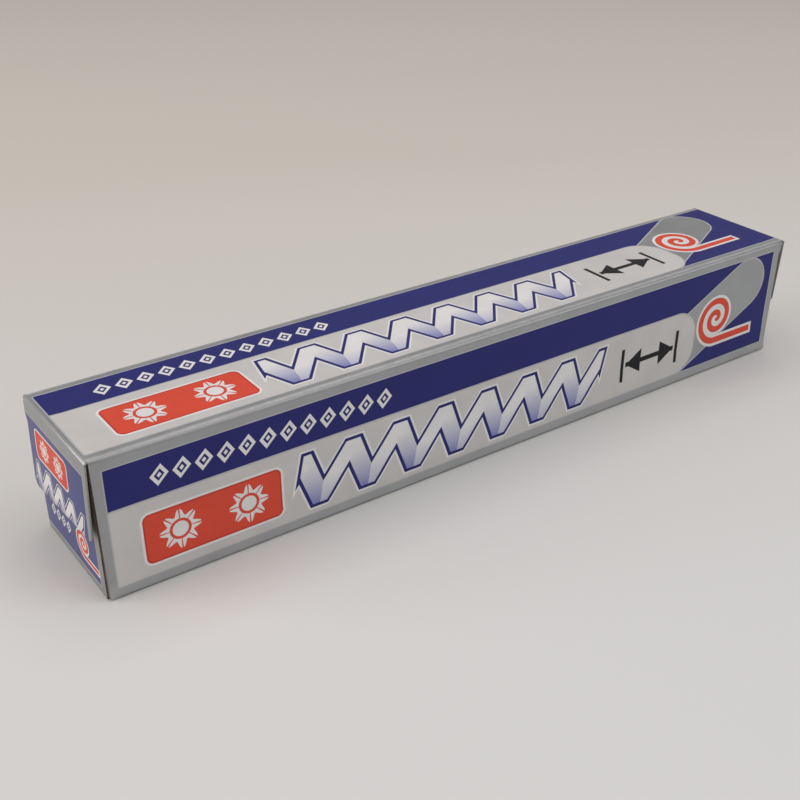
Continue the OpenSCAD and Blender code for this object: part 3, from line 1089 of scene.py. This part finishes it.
def makeWoundFoil():
    centre, bore, outer, half = rollShape()
    body = outer - roll["lap"] - roll["bodyGap"]
    place, size = -half + roll["ringDeep"] / 2, bore
    chooseNone()
    bpy.ops.mesh.primitive_circle_add(vertices=roll["vertices"], radius=bore, rotation=(0, math.pi / 2, 0),
                                      location=(place, centre.y, centre.z))
    piece = takePiece("woundFoil")
    openPiece(piece)
    pickAll()

    def nextLoop(newPlace, newSize):  # draws the open edge on to the next place and size
        nonlocal place, size
        drawOut((newPlace - place, 0, 0))
        scaleFrom((newPlace, centre.y, centre.z), 1, newSize / size, newSize / size)
        place, size = newPlace, newSize

    def uneven(count, wave):  # between 0 and 1, the same each run
        return 0.5 - 0.5 * math.sin(count * wave)

    shown = roll["turnsShown"]
    rings = [(bore + (body - bore) * turn / shown, roll["ringDeep"] * uneven(turn, roll["ringWave"]))
             for turn in range(1, shown + 1)]
    for ringSize, deep in rings:
        nextLoop(-half + deep, ringSize)
    for step in range(1, roll["steps"]):
        nextLoop(-half + 2 * half * step / roll["steps"],
                 body - roll["swell"] * uneven(step, roll["swellWave"]))
    for ringSize, deep in reversed(rings):
        nextLoop(half - deep, ringSize)
    nextLoop(half - roll["ringDeep"] / 2, bore)
    pick(piece, "EDGE", lambda co: abs(math.hypot(co.y - centre.y, co.z - centre.z) - bore) < 2 * mergeWithin)
    bpy.ops.mesh.bridge_edge_loops()
    faceOut(piece, (0, 0, 1))
    closePiece()
    return finishFoil(piece)


def makeLastTurn():
    centre, _, outer, half = rollShape()
    step = math.radians(roll["tailStep"])
    start = outer - roll["lap"]
    lean = math.radians(roll["tailStart"] - 90)
    first = centre + start * Vector((0, math.sin(lean), math.cos(lean)))
    piece = addSheet("lastTurn", first, (2 * half, start * step), (-lean, 0, 0), (roll["tailCells"], 1))
    openPiece(piece)
    pick(piece, "EDGE", lambda co: co.y < first.y - start * step / 4)
    size = start
    turns = round(360 / roll["tailStep"])
    for count in range(1, turns + round(roll["tailAngle"] / roll["tailStep"]) + 1):
        free = max(0.0, (count - turns) * roll["tailStep"] / roll["tailAngle"])
        newSize = start + roll["lap"] * min(1.0, count / turns) + roll["tailLift"] * free ** 2
        drawOut((0, 0, 0))
        bpy.ops.transform.rotate(value=-step, orient_axis="X", center_override=centre)
        scaleFrom(centre, 1, newSize / size, newSize / size)
        size = newSize
    faceOut(piece, (0, 0, -1))
    closePiece()
    group = piece.vertex_groups.new(name="free")
    for vertex in piece.data.vertices:
        reach = math.hypot(vertex.co.y - centre.y, vertex.co.z - centre.z)
        weight = max(roll["boundCrinkle"], min(1.0, (reach - outer) / roll["freeFrom"]))
        group.add([vertex.index], weight, "REPLACE")
    creases = bpy.data.textures.new("foilCreases", "DISTORTED_NOISE")
    creases.noise_scale = roll["creaseGrain"]
    pressIn(piece, "crinkle", roll["crinkle"], "free", creases)
    sheet = piece.modifiers.new("sheet", "SOLIDIFY")
    sheet.thickness = roll["tailThick"]
    sheet.offset = -1
    applyAll(piece)
    return finishFoil(piece)


def finishFoil(piece):
    giveMaterials(piece, rolledFoil)
    smoothBy(piece, 50)
    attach(piece, "tray")
    return piece


print("foil roll")
woundFoil = makeWoundFoil()
lastTurn = makeLastTurn()
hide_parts("foil_roll")
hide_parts("foil_roll")


# paper core

core = {"wall": 1.2 * mm, "rim": 0.12 * mm, "vertices": 128}


def makeCore():
    low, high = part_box("core_tube")
    chooseNone()
    bpy.ops.mesh.primitive_cylinder_add(
        vertices=core["vertices"], radius=(high.y - low.y) / 2, depth=high.x - low.x,
        end_fill_type="NOTHING", rotation=(0, math.pi / 2, 0), location=(low + high) / 2)
    piece = takePiece("paperCore")
    giveMaterials(piece, corePaper)
    wall = piece.modifiers.new("wall", "SOLIDIFY")
    wall.thickness = core["wall"]
    wall.offset = -1
    roundRims(piece, core["rim"])
    applyAll(piece)
    smoothBy(piece, 40)
    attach(piece, "tray")
    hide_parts("core_tube")


print("core and cutter")
makeCore()
giveMaterials(frame["nodes"]["cutter_strip"], cutterSteel)


# floor, light and camera

stage = {
    # the floor's two tones and their blend are painted light, paler where more light falls
    "floorSize": 6, "floorPaintedDim": (0.667, 0.625, 0.545, 1), "floorPaintedLit": (0.735, 0.722, 0.69, 1),
    "towards": (0.36, 0.98), "fade": (-0.27, 0.15), "cloud": 0.06, "dull": 0.45, "shine": 0.25,
    "ambient": (0.14, 0.14, 0.145, 1), "reflected": (0.36, 0.355, 0.35, 1), "seen": (0.60, 0.585, 0.555, 1),
    "lights": (  # name, place, size, watts, tint
        ("ceilingLight", (0, 0, 1.6), 2.0, 18.0, (1.0, 0.98, 1.0)),
        ("windowLight", (-1.4, 0.6, 0.5), 1.0, 12.4, (1.0, 0.96, 0.94)),
        ("roomFill", (0.9, -0.9, 1.3), 1.4, 4.0, (0.9, 0.93, 1.0)),
        ("lowFill", (0.95, -1.2, 0.5), 1.2, 7.0, (0.87, 0.92, 1.0))),
}


def makeFloor():  # painted light: paler towards the camera and the right, darker behind, standing in for how the room's light falls on the floor
    chooseNone()
    bpy.ops.mesh.primitive_plane_add(size=stage["floorSize"], location=(0, 0, 0))
    floor = takePiece("floor")
    material, shader, place = newMaterial("floorFinish")
    x, y, _ = axesOf(place)
    left, front = stage["towards"]
    # painted light across the floor
    paintedLightReach = x * -left - y * front + noise(place, *grain["floor"]) * stage["cloud"]
    feed(shader.inputs["Base Color"],
         layInk(spread(paintedLightReach, *stage["fade"]), stage["floorPaintedDim"], stage["floorPaintedLit"]))
    shader.inputs["Roughness"].default_value = stage["dull"]
    shader.inputs["Specular IOR Level"].default_value = stage["shine"]
    giveMaterials(floor, material)


def makeLight():
    world = bpy.data.worlds.new("studio")
    bpy.context.scene.world = world
    world.use_nodes = True
    back = world.node_tree.nodes["Background"]
    path = world.node_tree.nodes.new("ShaderNodeLightPath").outputs
    colour = layInk(Amount(path["Is Glossy Ray"]), stage["ambient"], stage["reflected"])
    seen = most(Amount(path["Is Camera Ray"]), Amount(path["Is Transmission Ray"]))
    feed(back.inputs["Color"], layInk(seen, colour, stage["seen"]))
    back.inputs["Strength"].default_value = 1.0
    for name, place, size, energy, tint in stage["lights"]:
        bpy.ops.object.light_add(type="AREA", location=place)
        lamp = bpy.context.object
        lamp.name = name
        lamp.data.shape = "SQUARE"
        lamp.data.size = size
        lamp.data.energy = energy
        lamp.data.color = tint
        lamp.rotation_mode = "QUATERNION"
        lamp.rotation_quaternion = (-lamp.location).to_track_quat("-Z", "Y")


view = {"place": (-0.20217, -0.25477, 0.18799), "ahead": (0.5189, 0.69785, -0.49371), "lens": 51.85,
        "roll": math.radians(0.761), "shift": (-0.03125, 0.01875)}


def makeCamera():
    camera = bpy.data.objects.new("camera", bpy.data.cameras.new("camera"))
    bpy.context.scene.collection.objects.link(camera)
    camera.data.lens = view["lens"]
    camera.data.sensor_width = 36
    camera.data.shift_x, camera.data.shift_y = view["shift"]
    camera.data.clip_start = 0.01
    camera.location = view["place"]
    turn = Vector(view["ahead"]).to_track_quat("-Z", "Y").to_matrix().to_4x4()
    camera.rotation_euler = (turn @ Matrix.Rotation(view["roll"], 4, "Z")).to_euler()
    bpy.context.scene.camera = camera


print("stage and camera")
makeFloor()
makeLight()
makeCamera()
bpy.context.scene.view_settings.view_transform = "Standard"
